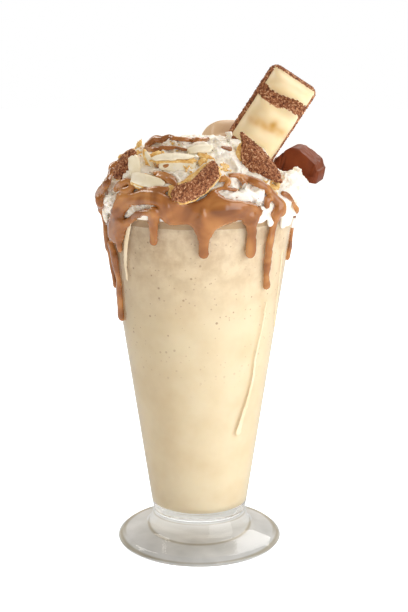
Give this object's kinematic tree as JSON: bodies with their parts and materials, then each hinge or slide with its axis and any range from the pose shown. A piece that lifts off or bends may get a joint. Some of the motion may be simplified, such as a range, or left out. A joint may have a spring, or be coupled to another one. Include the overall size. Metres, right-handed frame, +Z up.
{
  "type": "milkshake",
  "caption": "Thick milkshake in a tall footed glass, heaped with whipped cream, hazelnut sauce drips, wafer bars and broken chocolate shells.",
  "frame": {"origin": "centre of the foot's flat underside, on the surface the glass stands on", "axes": "+Z up along the glass's axis, +X to the drinker's right where the tall wafer bar leans, -Y to the front"},
  "size_m": [0.1179, 0.1039, 0.2418],
  "materials": {
    "clear_glass": "polished",
    "milkshake": "smooth",
    "cream": "soft",
    "hazelnut_sauce": "gloss",
    "white_chocolate": "satin",
    "milk_chocolate": "satin",
    "cocoa_crumb": "rough"
  },
  "bodies": {
    "root": {"glass": "clear_glass", "milkshake": "milkshake", "whipped_cream": "cream", "hazelnut_sauce": "hazelnut_sauce", "wafer_bar": "white_chocolate", "milk_chocolate_bar": "milk_chocolate", "rear_bar": "white_chocolate", "shell_front": "cocoa_crumb", "shell_right": "cocoa_crumb", "shell_left": "cocoa_crumb", "shell_pale": "white_chocolate", "shell_low": "white_chocolate"}
  },
  "joints": []
}
